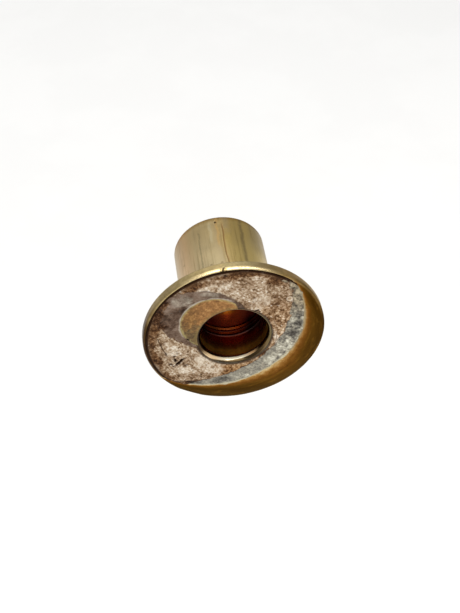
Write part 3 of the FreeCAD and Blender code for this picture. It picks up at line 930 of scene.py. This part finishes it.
def primer_look():
    """Grey primer: bluish by the worn side, purplish where the topcoat is rubbed off, dirty at the rim."""
    look = Look("grey_primer")
    x, z = look.x, look.z
    brown, light, dark = (look.attribute(name) for name in ("brown", "light", "dark"))
    grain = look.noise(0.7, 7, 0.8, shift=2)
    cloud = look.noise(2.2, 5, 0.65, shift=5)
    blotch = look.noise(3.4, 5, 0.6, shift=62)
    rubs = look.noise(0.6, 4, 0.6, stretch=(1, 1, 4), shift=12, tilt=-48)
    speckle = look.noise(1.5, 3, 0.55, shift=61) * look.ease(x, 7, 15)
    drift = look.noise(1.5, 3, 0.6, stretch=(1, 1, 1.6), shift=66, tilt=-48) * light
    tone = grain * 0.75 + cloud * 0.25 + rubs * 0.3 + speckle * 0.9 + drift * 0.5
    grey = look.ramp(tone + light * 0.08 - dark * 0.12, GREY_TONES)
    tone = grain * 0.45 + cloud * 0.25 + blotch * 0.65 + light * 0.04 - dark * 0.07
    inner = x - z * 0.5 - look.ease(z, 5, 10) * 4 + cloud * 6
    rubbing_and_highlight = look.ease(inner, -2.0, -9.0) * (1.0 - light * 0.3)
    colour = look.mix(rubbing_and_highlight, grey, look.ramp(tone, PURPLE_TONES))
    colour = look.shade(look.ease(z, 4, 12) * look.ease(x, 9, 13), colour, (234, 222, 208))

    specks = look.dots(0.9, 0.34, 17) * look.ease(grain + cloud + dark * 0.1, -0.05, 0.15)
    beside_patch = look.ease(look.attribute("patch_rim") + cloud * 1.6, 0.55, 0.15)
    beside_patch = beside_patch * look.ease(x + cloud * 8, 1, -4) * look.ease(z + cloud * 12, 0, 4)
    feathered = look.ease(look.attribute("feather") + cloud * 1.2, 0.7, 0.1)
    stained = look.ramp(grain * 1.5 + blotch * 0.9, STAIN_TONES)
    at_rim = look.ease(PRIMER_RADIUS - look.radius - grain * 0.6, 0.5, 0.2)
    at_mouth = look.ease(look.radius - PRIMER_HOLE + cloud, 0.65, 0.25)
    layers = [
        (specks * 0.6, (78, 74, 68)),
        (beside_patch * 0.65, (190, 180, 162)),
        (feathered * (0.2 + look.ease(z, -3, -12) * 0.45), (204, 194, 160)),
        (look.ease(brown + cloud * 1.2 + blotch, 0.0, 1.0), stained),
        (at_rim, (40, 20, 5)),
        (at_mouth * 0.8, (52, 40, 26)),
        (look.ease(look.attribute("chip") + grain * 0.3, 0.4, 0.1) * 0.7, (60, 44, 30)),
    ]
    look.shader.inputs["Specular IOR Level"].default_value = PAINT_GLOSS
    normal = look.bump(grain * 0.10 + cloud * 0.06, 0.8)
    return look.finish(look.paint(colour, layers), 0.62 + grain * 0.5, normal, 0.0)


def topcoat_look():
    """Tan topcoat: chalky, scraped and flaking, with grime in its low spots and a dark line along its
    borders that is partly painted shadow at its lower edge.
    """
    look = Look("tan_topcoat")
    x, z = look.x, look.z
    from_rim, from_mouth = TOPCOAT_RADIUS - look.radius, look.radius - TOPCOAT_HOLE
    edge, brown, light = (look.attribute(name) for name in ("edge", "brown", "light"))
    grain = look.noise(0.75, 7, 0.75, shift=1, twist=0.15)
    coarse = look.noise(2.0, 6, 0.7, shift=7)
    scrapes = look.noise(0.5, 5, 0.7, stretch=(1, 1, 5), shift=40, tilt=-38)
    cloud = look.noise(4.5, 3, 0.5, shift=70)
    warm = look.ease(x + coarse * 8, 1.0, 7.0) * look.ease(z + coarse * 8, 17.0, 8.0)
    crisp = look.noise(1.3, 5, 0.7, shift=60) * warm
    tone = (grain * (1.2 - warm * 0.15) + crisp * 1.25) * (1.0 - light * 0.35)
    tone = tone + coarse * 0.5 + scrapes * 0.45 + cloud * 0.35 + light * 0.075 - brown * 0.14 + 0.005
    low = look.ease(z + coarse * 8, -9.0, -12.0) * look.ease(x, -7.0, -2.0)
    colour = look.ramp(tone, TAN_TONES)
    colour = look.shade(look.most(warm * 0.6, low) * (1.0 - light * 0.8), colour, (234, 208, 174))
    colour = look.shade(brown * 0.8, colour, (226, 200, 170))

    flaky = look.ease(look.noise(0.9, 4, 0.7, shift=44, tilt=20, stretch=(1, 1, 3)), -0.05, 0.12)
    pitting = look.dots(0.75, 0.34, 48) * look.ease(cloud + coarse * 0.5, 0.03, -0.05) * (1.0 - light)
    specks = look.dots(1.2, 0.22, 3) * look.ease(coarse, 0.02, -0.06)
    scars = look.ease(look.noise(0.55, 4, 0.75, shift=52), 0.06, 0.14)
    scars = scars * look.ease(look.length(x - CHIPS_CENTRE[0], z - CHIPS_CENTRE[1]), 6.5, 2.5)
    flecks = look.dots(1.6, 0.2, 6) * look.ease(coarse, 0.0, 0.06)
    # A dark line along the coat's borders, stronger low down, where it is partly a painted shadow under the
    # coat's lower edge.
    at_edge = look.ease(edge + grain, 0.45, 0.05) * (0.55 + look.ease(z, -6, -12) * 0.35)
    grime = look.ease(from_rim - coarse * 2.4 - grain, 1.4, 0.4)
    at_rim = look.ease(from_rim - grain * 0.8, 0.45, 0.15)
    at_mouth = look.ease(from_mouth + coarse, 0.65, 0.15)
    ring = look.length(x - BUBBLE[0][0], z - BUBBLE[0][1]) - BUBBLE[1] + grain * 0.6
    split = x - SPLIT_AT[0] + (z - SPLIT_AT[1]) * SPLIT_LEAN + coarse * 1.6
    split = look.ease(look.math("ABSOLUTE", split), 0.26, 0.1) * look.between(z, -4.4, 1.6, 0.6)
    score = look.between(from_mouth + coarse, 1.15, 1.3, 0.12) * look.between(look.turn, -30, 24, 6)
    layers = [
        (light * flaky * 0.5, (227, 216, 198)),
        (pitting * 0.45, (92, 66, 44)),
        (specks * 0.8, (44, 30, 19)),
        (scars * 0.8, (58, 42, 28)),
        (flecks * 0.7, (240, 232, 218)),
        (at_edge, (66, 46, 36)),
        (grime * 0.6, (76, 54, 34)),
        (at_rim, (42, 22, 7)),
        (at_mouth * look.ease(z, 2, -4) * 0.7, (74, 56, 40)),
        # A painted glint on the raised ring, and painted shade just outside it.
        (look.between(ring, -0.2, 0.1, 0.15) * 0.5, (224, 210, 188)),
        (look.between(ring, 0.35, 0.45, 0.12) * 0.5, (84, 66, 48)),
        (split * 0.8, (58, 40, 28)),
        (score * 0.6, (92, 66, 46)),
    ]
    look.shader.inputs["Specular IOR Level"].default_value = PAINT_GLOSS
    normal = look.bump(grain * 0.22 + coarse * 0.14 + scrapes * 0.06 - specks * 0.06, 0.9)
    return look.finish(look.paint(colour, layers), 0.7 + grain * 0.4, normal, 0.0)


# ---- Stage ----

CAMERA_TURN, CAMERA_RISE = math.radians(-7.28), math.radians(43.88)
CAMERA_DISTANCE, CAMERA_ASIDE, CAMERA_ABOVE = 332.4, 1.22, 8.25  # from the outboard face's centre
CAMERA_LENS, SENSOR = 70.5, 36.0
FLOOR_LEVEL, FLOOR_REACH = -150.0, 6000
SKY_STRENGTH = 0.48
# Soft square lamps, in millimetres: name, place, target, size, power and colour.
LAMPS = [
    ("key", (60, -620, 660), (0, 0, 0), 800, 6.5, (1.0, 0.98, 0.95)),
    ("top", (-100, 300, 900), (0, 10, 0), 900, 4.2, (1, 1, 1)),
]


def make_camera():
    """Looks inboard and down on the outboard face, from a little to the left."""
    level = Vector((-math.sin(CAMERA_TURN), math.cos(CAMERA_TURN), 0))
    view = level * math.cos(CAMERA_RISE) - Vector((0, 0, math.sin(CAMERA_RISE)))
    turned = view.to_track_quat("-Z", "Y")
    right, up = turned @ Vector((1, 0, 0)), turned @ Vector((0, 1, 0))
    data = bpy.data.cameras.new("camera")
    data.lens, data.sensor_width = CAMERA_LENS, SENSOR
    camera = add_object("camera", data)
    place = Vector((0, FACE, 0)) - view * CAMERA_DISTANCE - right * CAMERA_ASIDE + up * CAMERA_ABOVE
    camera.location = place * MM
    camera.rotation_euler = turned.to_euler()
    bpy.context.scene.camera = camera


def make_lamp(name, place, target, size, power, colour):
    """A soft square lamp that points at its target."""
    data = bpy.data.lights.new(name, "AREA")
    data.shape, data.size, data.energy, data.color = "SQUARE", size * MM, power, colour
    lamp = add_object(name, data)
    lamp.location = Vector(place) * MM
    lamp.rotation_euler = (Vector(target) - Vector(place)).to_track_quat("-Z", "Y").to_euler()


def make_stage():
    """A pale floor under the fitting, soft light from above the camera, and a pale sky."""
    corners = [(-1, -1), (1, -1), (1, 1), (-1, 1)]
    points = [(x * FLOOR_REACH * MM, y * FLOOR_REACH * MM, FLOOR_LEVEL * MM) for x, y in corners]
    mesh = bpy.data.meshes.new("floor")
    mesh.from_pydata(points, [], [(0, 1, 2, 3)])
    floor = add_object("floor", mesh)
    look = Look("pale_floor")
    tint = look.mix(look.ease(look.noise(60, 3), -0.1, 0.1), (251, 251, 250), (253, 253, 252))
    mesh.materials.append(look.finish(tint, 0.8, look.bump(look.noise(3, 2) * 0.02, 0.2), 0.0))

    world = bpy.data.worlds.new("sky")
    world.use_nodes = True
    background = world.node_tree.nodes["Background"]
    background.inputs["Color"].default_value = (1, 1, 1, 1)
    background.inputs["Strength"].default_value = SKY_STRENGTH
    bpy.context.scene.world = world
    for lamp in LAMPS:
        make_lamp(*lamp)
    bpy.context.scene.view_settings.view_transform = "Standard"


make_camera()
make_stage()
make_casting().data.materials.append(brass_look())
make_primer().data.materials.append(primer_look())
make_topcoat().data.materials.append(topcoat_look())
